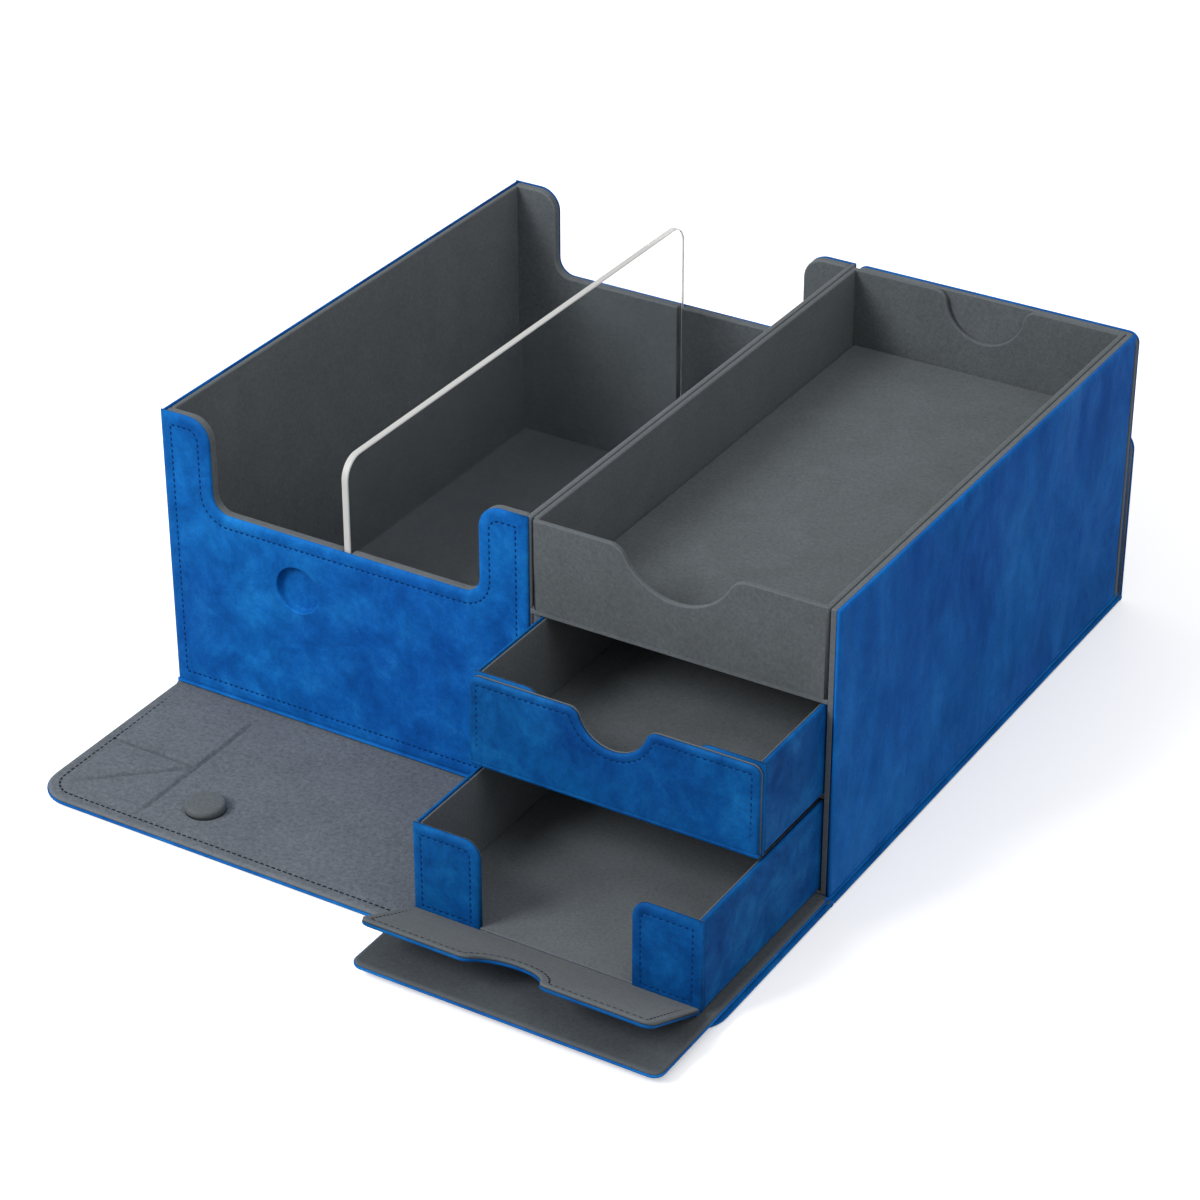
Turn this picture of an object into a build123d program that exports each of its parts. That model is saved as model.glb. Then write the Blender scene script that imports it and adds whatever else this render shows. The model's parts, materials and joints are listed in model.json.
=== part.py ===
from build123d import *
import math
import os

# Card storage box: a leatherette-wrapped case with a two-row card bay on the left and a module of two
# drawers under a lift-out tray on the right. The loose lid lies under the case with its flaps folded out.
# Millimetres, +Z up. The origin is on the lid's underside, below the middle of the case.

# Case boards
case_depth = 226.0
card_bay_width = 147.0
module_width = 112.0
base_board = 1.6
shell_board = 1.4
end_lining_board = 3.4
side_lining_board = 1.8
lining_drop = 0.3
partition_board = 2.1
floor_pad_board = 2.0
module_shell = 1.6
module_lining = 2.0
module_gap = 0.8
module_corner_radius = 4.0
bay_floor_board = 1.0
bay_wall_board = 2.8
drawer_shelf_board = 2.2
tray_shelf_board = 1.6
shelf_setback = 2.0

# Cut-outs in the two ends of the card bay
cutout_post_width = 19.8
cutout_depth = 34.1
cutout_post_radius = 8.5
cutout_sill_radius = 6.5

# Snap recess in the front wall, with a magnet behind it
recess_diameter = 17.0
recess_depth = 0.8
recess_from_left = 54.1
recess_from_top = 54.3
closure_magnet_diameter = 12.0
closure_magnet_thickness = 1.5

# Clear divider between the two card rows
divider_thickness = 2.6
divider_clearance = 0.4
divider_end_clearance = 0.6
divider_drop = 0.0
divider_corner_radius = 8.0

# Lift-out tray
tray_height = 33.0
tray_wall = 2.0
tray_floor = 3.6
tray_clearance = 0.4
tray_front_setback = 0.1
tray_front_notch_width = 50.0
tray_front_notch_depth = 15.0
tray_back_notch_width = 40.0
tray_back_notch_depth = 17.0

# Drawers, with the distance that each stands open
drawer_height = 33.2
drawer_wall = 2.4
drawer_floor = 2.0
drawer_side_clearance = 0.6
drawer_rise = 0.4
drawer_back_clearance = 0.8
drawer_post_width = 24.8
drawer_post_radius = 6.0
upper_pull = 42.2
lower_pull = 78.5

# Drop-down drawer fronts, hinged at their lower edge and held shut by magnets
flap_thickness = 2.4
flap_lining = 0.6
flap_setback = 0.2
flap_gap = 0.1
flap_corner_radius = 3.5
flap_notch_width = 32.0
flap_notch_depth = 11.5
upper_flap_angle = 0.0
lower_flap_angle = 65.0
flap_magnet_diameter = 8.0
flap_magnet_thickness = 1.2
flap_magnet_from_top = 9.0
magnet_clearance = 0.05

# Hinged cover that closes over the module's front
cover_thickness = 2.4
cover_lining = 0.8
cover_clearance = 0.3
cover_side_gap = 0.5
cover_shortfall = 1.0
cover_corner_radius = 4.0

# Lid with a front flap and a rear flap
lid_thickness = 2.6
lid_lining = 0.8
lid_overhang = 1.0
stack_clearance = 0.2
hinge_clearance = 0.4
lid_front_flap_length = 81.4
lid_front_corner_radius = 13.0
lid_rear_flap_length = 69.0
lid_rear_corner_radius = 8.0
button_diameter = 14.0
button_height = 3.0
button_edge_radius = 1.0
button_from_left = 56.5
button_from_hinge = 61.0

# How far each lining stops short of its board's edge, how much of a thumb notch's curve its shoulders
# take
lining_inset = 0.6
notch_shoulder_share = 0.24

# Levels, from the table upwards
base_z = lid_thickness + stack_clearance
floor_z = base_z + base_board
pad_z = floor_z + floor_pad_board
bay_floor_z = floor_z + bay_floor_board
lower_z = bay_floor_z + drawer_rise
drawer_shelf_z = lower_z + drawer_height + drawer_rise
upper_z = drawer_shelf_z + drawer_shelf_board + drawer_rise
tray_shelf_z = upper_z + drawer_height + drawer_rise
tray_z = tray_shelf_z + tray_shelf_board
top_z = tray_z + tray_height
lining_top_z = top_z - lining_drop
sill_z = top_z - cutout_depth
case_height = top_z - base_z

# Places across the case, from left to right
case_width = card_bay_width + module_width
left_x = -case_width / 2
right_x = case_width / 2
inner_left_x = left_x + shell_board
row_left_x = inner_left_x + side_lining_board
bay_split_x = left_x + card_bay_width
partition_x = bay_split_x - partition_board
left_post_x = left_x + cutout_post_width
right_post_x = bay_split_x - cutout_post_width
divider_x = (row_left_x + partition_x) / 2
slot_half_width = divider_thickness / 2 + divider_clearance
slot_left_x = divider_x - slot_half_width
slot_right_x = divider_x + slot_half_width
bay_left_x = bay_split_x + bay_wall_board
module_shell_x = right_x - module_shell
module_right_x = module_shell_x - module_lining
drawer_left_x = bay_left_x + drawer_side_clearance
drawer_right_x = module_right_x - drawer_side_clearance
drawer_x = (drawer_left_x + drawer_right_x) / 2
drawer_width = drawer_right_x - drawer_left_x
tray_left_x = bay_split_x + tray_clearance
tray_right_x = module_right_x - tray_clearance

# Places along the case, from front to back
front_y = -case_depth / 2
back_y = case_depth / 2
inner_front_y = front_y + shell_board
row_front_y = inner_front_y + end_lining_board
inner_back_y = back_y - shell_board
row_back_y = inner_back_y - end_lining_board
module_shell_y = back_y - module_shell
module_back_y = module_shell_y - module_lining
shelf_front_y = front_y + shelf_setback
tray_front_y = front_y + tray_front_setback
tray_back_y = module_back_y - tray_clearance
closed_front_y = front_y + flap_setback + flap_thickness + flap_gap
drawer_depth = module_back_y - drawer_back_clearance - closed_front_y

# Hinge axes of the cover and the lid's flaps, which all run across the case
cover_axis_y = front_y - hinge_clearance - cover_thickness / 2
cover_axis_z = lid_thickness + cover_clearance + cover_thickness / 2
lid_front_axis_y = cover_axis_y + cover_thickness / 2 + lid_thickness / 2 + hinge_clearance
lid_rear_axis_y = back_y + hinge_clearance + lid_thickness / 2
lid_axis_z = lid_thickness / 2
lid_front_y = lid_front_axis_y + lid_thickness / 2 + hinge_clearance
lid_back_y = lid_rear_axis_y - lid_thickness / 2 - hinge_clearance

os.makedirs("parts", exist_ok=True)


def keep(piece, name):
    """Label a finished piece and write it under its own name."""
    piece.part.label = name
    export_step(piece.part, f"parts/{name}.step")


def upright(y):
    """A plane across the case at y, with x to the right, z upwards and its normal to the front."""
    return Plane(origin=(0, y, 0), x_dir=(1, 0, 0), z_dir=(0, -1, 0))


def board(x_limits, y_limits, z_limits):
    """A plain flat board between its limits along each axis."""
    with BuildPart() as blank:
        with BuildSketch(Plane.XY.offset(z_limits[0])):
            with Locations((sum(x_limits) / 2, sum(y_limits) / 2)):
                Rectangle(x_limits[1] - x_limits[0], y_limits[1] - y_limits[0])
        extrude(amount=z_limits[1] - z_limits[0])
    return blank


def rounded_board(x_limits, y_limits, z_limits, radius):
    """An upright board across the case with its two top corners rounded."""
    with BuildPart() as panel:
        with BuildSketch(upright(y_limits[1])) as outline:
            with Locations((sum(x_limits) / 2, sum(z_limits) / 2)):
                Rectangle(x_limits[1] - x_limits[0], z_limits[1] - z_limits[0])
            fillet(outline.vertices().group_by(Axis.Y)[-1], radius)
        extrude(amount=y_limits[1] - y_limits[0])
    return panel


def thumb_notch(middle_x, edge_y, width, depth):
    """Line of a thumb notch in an upper edge: two rounded shoulders that run into a round bottom."""
    half_width = width / 2
    radii = (half_width ** 2 + depth ** 2) / (2 * depth)
    shoulder_radius = notch_shoulder_share * radii
    bottom_radius = radii - shoulder_radius
    shoulder_angle = math.asin(half_width / radii)
    bottom_y = edge_y - depth
    join_x = bottom_radius * math.sin(shoulder_angle)
    join_y = bottom_y + bottom_radius * (1 - math.cos(shoulder_angle))
    middle_angle = shoulder_angle / 2
    crest_x = half_width - shoulder_radius * math.sin(middle_angle)
    crest_y = edge_y - shoulder_radius * (1 - math.cos(middle_angle))
    with BuildLine() as notch:
        ThreePointArc(
            (middle_x - half_width, edge_y), (middle_x - crest_x, crest_y), (middle_x - join_x, join_y)
        )
        ThreePointArc(
            (middle_x - join_x, join_y), (middle_x, bottom_y), (middle_x + join_x, join_y)
        )
        ThreePointArc(
            (middle_x + join_x, join_y), (middle_x + crest_x, crest_y), (middle_x + half_width, edge_y)
        )
    return notch.line


def notched_outline(plane, x_limits, y_limits, notch_width, notch_depth):
    """A rectangle on a plane with a thumb notch in the middle of its upper edge."""
    middle_x = sum(x_limits) / 2
    low_y, high_y = y_limits
    notch = thumb_notch(middle_x, high_y, notch_width, notch_depth)
    with BuildSketch(plane) as outline:
        with BuildLine():
            add(notch)
            Polyline(
                (middle_x + notch_width / 2, high_y),
                (x_limits[1], high_y),
                (x_limits[1], low_y),
                (x_limits[0], low_y),
                (x_limits[0], high_y),
                (middle_x - notch_width / 2, high_y),
            )
        make_face()
    return outline


def cutout_outline(plane):
    """End wall of the card bay: two posts that stand up on each side of a low sill."""
    with BuildSketch(plane) as outline:
        with BuildLine():
            Polyline(
                (left_x, floor_z),
                (bay_split_x, floor_z),
                (bay_split_x, top_z),
                (right_post_x, top_z),
                (right_post_x, sill_z),
                (left_post_x, sill_z),
                (left_post_x, top_z),
                (left_x, top_z),
                close=True,
            )
        make_face()
        fillet(outline.vertices().group_by(Axis.Y)[1], cutout_sill_radius)
        fillet(outline.vertices().group_by(Axis.Y)[-1].sort_by(Axis.X)[1:3], cutout_post_radius)
    return outline.sketch


def lining_outline(plane, wall_x, post_x, slot_x):
    """Half of an end wall's lining: one post and the sill as far as the divider's slot."""
    with BuildSketch(plane) as outline:
        with BuildLine():
            Polyline(
                (wall_x, floor_z),
                (slot_x, floor_z),
                (slot_x, sill_z),
                (post_x, sill_z),
                (post_x, lining_top_z),
                (wall_x, lining_top_z),
                close=True,
            )
        make_face()
        slot_corner = (slot_x, sill_z)
        sill_ends = outline.vertices().group_by(Axis.Y)[1].sort_by_distance(slot_corner)
        fillet(sill_ends[-1], cutout_sill_radius)
        post_ends = outline.vertices().group_by(Axis.Y)[-1].sort_by_distance(slot_corner)
        fillet(post_ends[0], cutout_post_radius - lining_drop)
    return outline.sketch


def hinge_bead(width, axis_y, axis_z, middle_x, thickness):
    """Round edge of a hinged board, on its hinge axis."""
    with BuildPart() as bead:
        with BuildSketch(Plane.YZ.offset(middle_x - width / 2)):
            with Locations((axis_y, axis_z)):
                Circle(thickness / 2)
        extrude(amount=width)
    return bead.part


def hinged_board(plane, width, reach, thickness, lining, corner_radius):
    """A flap's board. The plane lies in the flap on its hinge axis, y to the free edge, z to the lining."""
    with BuildPart() as flap:
        with BuildSketch(plane.offset(-thickness / 2)) as outline:
            with Locations((0, reach / 2)):
                Rectangle(width, reach)
            fillet(outline.vertices().group_by(Axis.Y)[-1], corner_radius)
        extrude(amount=thickness - lining)
        add(hinge_bead(width, plane.origin.Y, plane.origin.Z, plane.origin.X, thickness))
    return flap


def hinged_lining(plane, width, reach, thickness, lining, corner_radius):
    """A flap's lining, let in between the hinge's round edge and the board's rim."""
    low_y = thickness / 2 + lining_inset
    high_y = reach - lining_inset
    with BuildPart() as sheet:
        with BuildSketch(plane.offset(thickness / 2 - lining)) as outline:
            with Locations((0, (low_y + high_y) / 2)):
                Rectangle(width - 2 * lining_inset, high_y - low_y)
            fillet(outline.vertices().group_by(Axis.Y)[-1], corner_radius - lining_inset)
        extrude(amount=lining)
    return sheet


# Base board that carries every wall
base_panel = board((left_x, right_x), (front_y, back_y), (base_z, floor_z))
keep(base_panel, "base_panel")

# Card bay's outer walls: the two ends have cut-outs, and the front one has the snap recess
with BuildPart() as front_wall:
    extrude(cutout_outline(upright(inner_front_y)), amount=shell_board, dir=(0, -1, 0))
    with BuildSketch(upright(front_y)):
        with Locations((left_x + recess_from_left, top_z - recess_from_top)):
            Circle(recess_diameter / 2)
    extrude(amount=-recess_depth, mode=Mode.SUBTRACT)
keep(front_wall, "front_wall")

with BuildPart() as back_wall:
    extrude(cutout_outline(upright(back_y)), amount=shell_board, dir=(0, -1, 0))
keep(back_wall, "back_wall")

left_wall = board((left_x, inner_left_x), (inner_front_y, inner_back_y), (floor_z, top_z))
keep(left_wall, "left_wall")

partition_wall = board((partition_x, bay_split_x), (inner_front_y, inner_back_y), (floor_z, top_z))
keep(partition_wall, "partition_wall")

# Padded linings of the card bay, split at each end by the divider's slot
left_lining = board((inner_left_x, row_left_x), (row_front_y, row_back_y), (floor_z, lining_top_z))
keep(left_lining, "left_lining")

magnet_x = left_x + recess_from_left
magnet_z = top_z - recess_from_top
with BuildPart() as front_lining_left:
    front_half = lining_outline(upright(row_front_y), inner_left_x, left_post_x, slot_left_x)
    extrude(front_half, amount=end_lining_board, dir=(0, -1, 0))
    with BuildSketch(upright(inner_front_y)):
        with Locations((magnet_x, magnet_z)):
            Circle(closure_magnet_diameter / 2 + magnet_clearance)
    extrude(amount=-(closure_magnet_thickness + magnet_clearance), mode=Mode.SUBTRACT)
keep(front_lining_left, "front_lining_left")

with BuildPart() as front_lining_right:
    front_half = lining_outline(upright(row_front_y), partition_x, right_post_x, slot_right_x)
    extrude(front_half, amount=end_lining_board, dir=(0, -1, 0))
keep(front_lining_right, "front_lining_right")

with BuildPart() as back_lining_left:
    back_half = lining_outline(upright(inner_back_y), inner_left_x, left_post_x, slot_left_x)
    extrude(back_half, amount=end_lining_board, dir=(0, -1, 0))
keep(back_lining_left, "back_lining_left")

with BuildPart() as back_lining_right:
    back_half = lining_outline(upright(inner_back_y), partition_x, right_post_x, slot_right_x)
    extrude(back_half, amount=end_lining_board, dir=(0, -1, 0))
keep(back_lining_right, "back_lining_right")

floor_pad_left = board((row_left_x, slot_left_x), (row_front_y, row_back_y), (floor_z, pad_z))
keep(floor_pad_left, "floor_pad_left")

floor_pad_right = board((slot_right_x, partition_x), (row_front_y, row_back_y), (floor_z, pad_z))
keep(floor_pad_right, "floor_pad_right")

# Magnet behind the recess, which pulls the lid's button in
with BuildPart() as closure_magnet:
    with BuildSketch(upright(inner_front_y)):
        with Locations((magnet_x, magnet_z)):
            Circle(closure_magnet_diameter / 2)
    extrude(amount=-closure_magnet_thickness)
keep(closure_magnet, "closure_magnet")

# Clear divider, dropped into the slot between the linings
with BuildPart() as card_divider:
    with BuildSketch(Plane.YZ.offset(divider_x - divider_thickness / 2)) as divider_outline:
        divider_front_y = inner_front_y + divider_end_clearance
        divider_back_y = inner_back_y - divider_end_clearance
        divider_top_z = top_z - divider_drop
        with Locations(((divider_front_y + divider_back_y) / 2, (floor_z + divider_top_z) / 2)):
            Rectangle(divider_back_y - divider_front_y, divider_top_z - floor_z)
        fillet(divider_outline.vertices().group_by(Axis.Y)[-1], divider_corner_radius)
    extrude(amount=divider_thickness)
keep(card_divider, "card_divider")

# Drawer module: outer walls with their linings, the bay's left wall, its floor and the two shelves
right_panel = board((module_shell_x, right_x), (front_y, module_back_y), (floor_z, top_z))
keep(right_panel, "right_panel")

right_lining = board((module_right_x, module_shell_x), (front_y, module_back_y), (floor_z, top_z))
keep(right_lining, "right_lining")

back_limits = (bay_split_x + module_gap, right_x)
back_panel = rounded_board(
    back_limits, (module_shell_y, back_y), (floor_z, top_z), module_corner_radius
)
keep(back_panel, "back_panel")

back_panel_lining = rounded_board(
    back_limits, (module_back_y, module_shell_y), (floor_z, lining_top_z), module_corner_radius
)
keep(back_panel_lining, "back_panel_lining")

bay_floor = board((bay_left_x, module_right_x), (front_y, module_back_y), (floor_z, bay_floor_z))
keep(bay_floor, "bay_floor")

bay_wall = board((bay_split_x, bay_left_x), (shelf_front_y, module_back_y), (floor_z, tray_shelf_z))
keep(bay_wall, "bay_wall")

drawer_shelf = board(
    (bay_left_x, module_right_x),
    (shelf_front_y, module_back_y),
    (drawer_shelf_z, drawer_shelf_z + drawer_shelf_board),
)
keep(drawer_shelf, "drawer_shelf")

tray_shelf = board((bay_split_x, module_right_x), (shelf_front_y, module_back_y), (tray_shelf_z, tray_z))
keep(tray_shelf, "tray_shelf")

# Lift-out tray that stands on the upper shelf, with a thumb notch at each end
tray_floor_z = tray_z + tray_floor
tray_floor_panel = board((tray_left_x, tray_right_x), (tray_front_y, tray_back_y), (tray_z, tray_floor_z))
keep(tray_floor_panel, "tray_floor")

tray_side_limits = (tray_front_y + tray_wall, tray_back_y - tray_wall)
tray_left_wall = board((tray_left_x, tray_left_x + tray_wall), tray_side_limits, (tray_floor_z, top_z))
keep(tray_left_wall, "tray_left_wall")

tray_right_wall = board((tray_right_x - tray_wall, tray_right_x), tray_side_limits, (tray_floor_z, top_z))
keep(tray_right_wall, "tray_right_wall")

tray_front_outline = notched_outline(
    upright(tray_front_y + tray_wall),
    (tray_left_x, tray_right_x),
    (tray_floor_z, top_z),
    tray_front_notch_width,
    tray_front_notch_depth,
)
with BuildPart() as tray_front_wall:
    extrude(tray_front_outline.sketch, amount=tray_wall, dir=(0, -1, 0))
keep(tray_front_wall, "tray_front_wall")

tray_back_outline = notched_outline(
    upright(tray_back_y),
    (tray_left_x, tray_right_x),
    (tray_floor_z, top_z),
    tray_back_notch_width,
    tray_back_notch_depth,
)
with BuildPart() as tray_back_wall:
    extrude(tray_back_outline.sketch, amount=tray_wall, dir=(0, -1, 0))
keep(tray_back_wall, "tray_back_wall")


def drawer_post(front_limit_y, z_limits, outer_x, inner_x, magnet_place):
    """One front post of a drawer, its top rounded beside the gap, with a pocket for a magnet."""
    with BuildPart() as post:
        with BuildSketch(upright(front_limit_y)) as outline:
            with Locations(((outer_x + inner_x) / 2, sum(z_limits) / 2)):
                Rectangle(abs(inner_x - outer_x), z_limits[1] - z_limits[0])
            gap_corner = outline.vertices().sort_by_distance((inner_x, z_limits[1]))[0]
            fillet(gap_corner, drawer_post_radius)
        extrude(amount=-drawer_wall)
        with BuildSketch(upright(front_limit_y)):
            with Locations(magnet_place):
                Circle(flap_magnet_diameter / 2 + magnet_clearance)
        extrude(amount=-(flap_magnet_thickness + magnet_clearance), mode=Mode.SUBTRACT)
    return post


def flap_blank(plane, z_start, thickness, low_y, inset):
    """A sheet with the outline of a drawer front, which has rounded corners and a thumb notch."""
    half_width = drawer_width / 2 - inset
    notch_width = flap_notch_width + 2 * inset
    outline = notched_outline(
        plane.offset(z_start),
        (-half_width, half_width),
        (low_y, flap_reach - inset),
        notch_width,
        flap_notch_depth,
    )
    with BuildPart() as sheet:
        extrude(outline.sketch, amount=thickness, dir=plane.z_dir)
        corners = sheet.edges().filter_by(Axis(plane.origin, plane.z_dir))
        top_corners = corners.group_by(Axis(plane.origin, plane.y_dir))[-1].sort_by(Axis.X)
        fillet([top_corners[0], top_corners[-1]], flap_corner_radius - inset)
    return sheet.part


# Both drawers: a lined box with two front posts, and a drop-down front on the lower front edge
flap_reach = drawer_height - flap_thickness / 2
post_x_pairs = (
    (drawer_left_x, drawer_left_x + drawer_post_width),
    (drawer_right_x, drawer_right_x - drawer_post_width),
)
drawer_settings = (
    ("upper", upper_z, upper_pull, upper_flap_angle),
    ("lower", lower_z, lower_pull, lower_flap_angle),
)
for name, low_z, pull, flap_angle in drawer_settings:
    drawer_front_y = closed_front_y - pull
    drawer_back_y = drawer_front_y + drawer_depth
    high_z = low_z + drawer_height
    wall_limits_z = (low_z + drawer_floor, high_z)
    side_limits_y = (drawer_front_y + drawer_wall, drawer_back_y - drawer_wall)

    floor_panel = board(
        (drawer_left_x, drawer_right_x), (drawer_front_y, drawer_back_y), (low_z, low_z + drawer_floor)
    )
    keep(floor_panel, f"{name}_drawer_floor")

    left_side = board((drawer_left_x, drawer_left_x + drawer_wall), side_limits_y, wall_limits_z)
    keep(left_side, f"{name}_drawer_left_wall")

    right_side = board((drawer_right_x - drawer_wall, drawer_right_x), side_limits_y, wall_limits_z)
    keep(right_side, f"{name}_drawer_right_wall")

    back_side = board(
        (drawer_left_x, drawer_right_x), (drawer_back_y - drawer_wall, drawer_back_y), wall_limits_z
    )
    keep(back_side, f"{name}_drawer_back_wall")

    magnet_level = high_z - flap_magnet_from_top
    magnet_places = [((outer_x + inner_x) / 2, magnet_level) for outer_x, inner_x in post_x_pairs]
    for side, (outer_x, inner_x), place in zip(("left", "right"), post_x_pairs, magnet_places):
        post = drawer_post(drawer_front_y, wall_limits_z, outer_x, inner_x, place)
        keep(post, f"{name}_drawer_{side}_post")

    with BuildPart() as post_magnets:
        with BuildSketch(upright(drawer_front_y)):
            with Locations(*magnet_places):
                Circle(flap_magnet_diameter / 2)
        extrude(amount=-flap_magnet_thickness)
    keep(post_magnets, f"{name}_drawer_magnets")

    hinge_y = drawer_front_y - flap_gap - flap_thickness / 2
    hinge_z = low_z + flap_thickness / 2
    tilt = math.radians(flap_angle)
    flap_plane = Plane(
        origin=(drawer_x, hinge_y, hinge_z),
        x_dir=(-1, 0, 0),
        z_dir=(0, math.cos(tilt), math.sin(tilt)),
    )
    magnet_plane = flap_plane.offset(flap_thickness / 2 - flap_lining)
    flap_magnet_places = [(drawer_x - x, z - hinge_z) for x, z in magnet_places]
    with BuildPart() as flap_board:
        add(flap_blank(flap_plane, -flap_thickness / 2, flap_thickness - flap_lining, 0, 0))
        add(hinge_bead(drawer_width, hinge_y, hinge_z, drawer_x, flap_thickness))
        with BuildSketch(magnet_plane):
            with Locations(*flap_magnet_places):
                Circle(flap_magnet_diameter / 2 + magnet_clearance)
        extrude(amount=-(flap_magnet_thickness + magnet_clearance), mode=Mode.SUBTRACT)
    keep(flap_board, f"{name}_flap_board")

    lining_low_y = flap_thickness / 2 + lining_inset
    with BuildPart() as flap_sheet:
        add(flap_blank(flap_plane, flap_thickness / 2 - flap_lining, flap_lining, lining_low_y, lining_inset))
    keep(flap_sheet, f"{name}_flap_lining")

    with BuildPart() as flap_magnets:
        with BuildSketch(magnet_plane):
            with Locations(*flap_magnet_places):
                Circle(flap_magnet_diameter / 2)
        extrude(amount=-flap_magnet_thickness)
    keep(flap_magnets, f"{name}_flap_magnets")

# Cover of the module's front, folded down onto the lid's front flap
cover_left_x = bay_split_x + cover_side_gap
cover_plane = Plane(
    origin=((cover_left_x + right_x) / 2, cover_axis_y, cover_axis_z), x_dir=(-1, 0, 0), z_dir=(0, 0, 1)
)
cover_reach = case_height - cover_shortfall
cover_sizes = (right_x - cover_left_x, cover_reach, cover_thickness, cover_lining, cover_corner_radius)
keep(hinged_board(cover_plane, *cover_sizes), "cover_board")
keep(hinged_lining(cover_plane, *cover_sizes), "cover_lining")

# Lid: its main panel lies under the case, lining upwards
lid_limits_x = (left_x - lid_overhang, right_x + lid_overhang)
lid_width = case_width + 2 * lid_overhang
lid_lining_z = lid_thickness - lid_lining
lid_panel = board(lid_limits_x, (lid_front_y, lid_back_y), (0, lid_lining_z))
keep(lid_panel, "lid_panel")

lid_panel_lining = board(
    (lid_limits_x[0] + lining_inset, lid_limits_x[1] - lining_inset),
    (lid_front_y, lid_back_y),
    (lid_lining_z, lid_thickness),
)
keep(lid_panel_lining, "lid_panel_lining")

# Front flap of the lid, flat on the table, with its snap button
lid_front_plane = Plane(origin=(0, lid_front_axis_y, lid_axis_z), x_dir=(-1, 0, 0), z_dir=(0, 0, 1))
lid_front_sizes = (lid_width, lid_front_flap_length, lid_thickness, lid_lining, lid_front_corner_radius)
keep(hinged_board(lid_front_plane, *lid_front_sizes), "lid_front_flap_board")
keep(hinged_lining(lid_front_plane, *lid_front_sizes), "lid_front_flap_lining")

with BuildPart() as snap_button:
    with BuildSketch(Plane.XY.offset(lid_thickness)):
        with Locations((left_x + button_from_left, lid_front_axis_y - button_from_hinge)):
            Circle(button_diameter / 2)
    extrude(amount=button_height)
    fillet(snap_button.edges().group_by(Axis.Z)[-1], button_edge_radius)
keep(snap_button, "snap_button")

# Rear flap of the lid, folded up behind the case
lid_rear_plane = Plane(origin=(0, lid_rear_axis_y, lid_axis_z), x_dir=(1, 0, 0), z_dir=(0, -1, 0))
lid_rear_sizes = (lid_width, lid_rear_flap_length, lid_thickness, lid_lining, lid_rear_corner_radius)
keep(hinged_board(lid_rear_plane, *lid_rear_sizes), "lid_rear_flap_board")
keep(hinged_lining(lid_rear_plane, *lid_rear_sizes), "lid_rear_flap_lining")
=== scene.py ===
import json
import math

import bmesh
import bpy
from mathutils import Matrix, Vector


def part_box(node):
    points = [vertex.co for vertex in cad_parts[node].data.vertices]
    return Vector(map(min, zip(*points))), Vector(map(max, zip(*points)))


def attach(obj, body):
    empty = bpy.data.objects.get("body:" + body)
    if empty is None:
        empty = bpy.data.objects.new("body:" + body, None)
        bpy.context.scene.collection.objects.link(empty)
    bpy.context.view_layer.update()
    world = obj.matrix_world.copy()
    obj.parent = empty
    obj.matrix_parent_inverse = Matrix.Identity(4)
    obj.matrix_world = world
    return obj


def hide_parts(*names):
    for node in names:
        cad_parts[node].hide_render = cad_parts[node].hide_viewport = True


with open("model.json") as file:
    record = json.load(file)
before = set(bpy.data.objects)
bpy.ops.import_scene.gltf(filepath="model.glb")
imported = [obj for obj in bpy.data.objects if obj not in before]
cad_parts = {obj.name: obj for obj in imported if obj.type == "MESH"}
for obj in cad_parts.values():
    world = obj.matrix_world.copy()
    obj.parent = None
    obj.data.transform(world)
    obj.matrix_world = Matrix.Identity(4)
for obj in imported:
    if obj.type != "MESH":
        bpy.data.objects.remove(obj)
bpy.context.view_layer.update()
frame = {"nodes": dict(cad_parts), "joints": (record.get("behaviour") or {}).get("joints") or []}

# Base panel: a thin board that carries every wall of the case. It is wrapped in blue leatherette, a soft
# synthetic hide with a brushed, cloudy surface, painted paler where it rolls over an edge: wear and painted
# highlight.
MM = 0.001
RIGHT, LEFT = Vector((1, 0, 0)), Vector((-1, 0, 0))
BACK, FRONT = Vector((0, 1, 0)), Vector((0, -1, 0))
UP, DOWN = Vector((0, 0, 1)), Vector((0, 0, -1))
FLAT_ANGLE = math.radians(1)
STRAIGHT = 0.9999
SAME_POINT = 0.002 * MM
ROLL_STEPS = 5
BASE_ROLL = (1.0 * MM, 0.8 * MM)
WHITE = (1.0, 1.0, 1.0)
DEEP_PATCH = (0.88, 0.74, 0.86)
STREAK_UPRIGHT_SCALE = 0.6
PATCH_RELIEF = 0.6 * MM
GRAIN_RELIEF = 0.10 * MM


def new_material(name):
    """A node material with its tree, its shader and the object's own coordinates."""
    material = bpy.data.materials.new(name)
    material.use_nodes = True
    tree = material.node_tree
    place = tree.nodes.new("ShaderNodeTexCoord").outputs["Object"]
    return material, tree, tree.nodes["Principled BSDF"], place


def stretched(tree, place, scale):
    """Coordinates with a scale of their own along each axis."""
    node = tree.nodes.new("ShaderNodeMapping")
    node.inputs["Scale"].default_value = scale
    tree.links.new(place, node.inputs["Vector"])
    return node.outputs["Vector"]


def noise(tree, place, per_metre, detail, roughness, distortion=0.0):
    """Cloudy noise over the surface, at so many patches to the metre."""
    node = tree.nodes.new("ShaderNodeTexNoise")
    node.inputs["Scale"].default_value = per_metre
    node.inputs["Detail"].default_value = detail
    node.inputs["Roughness"].default_value = roughness
    node.inputs["Distortion"].default_value = distortion
    tree.links.new(place, node.inputs["Vector"])
    return node.outputs["Fac"]


def ramp(tree, factor, *stops):
    """Colours along a factor, each stop a place and a colour."""
    node = tree.nodes.new("ShaderNodeValToRGB")
    elements = node.color_ramp.elements
    while len(elements) < len(stops):
        elements.new(0.5)
    for element, (place, colour) in zip(elements, stops):
        element.position = place
        element.color = (*colour, 1)
    tree.links.new(factor, node.inputs["Fac"])
    return node.outputs["Color"]


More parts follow.
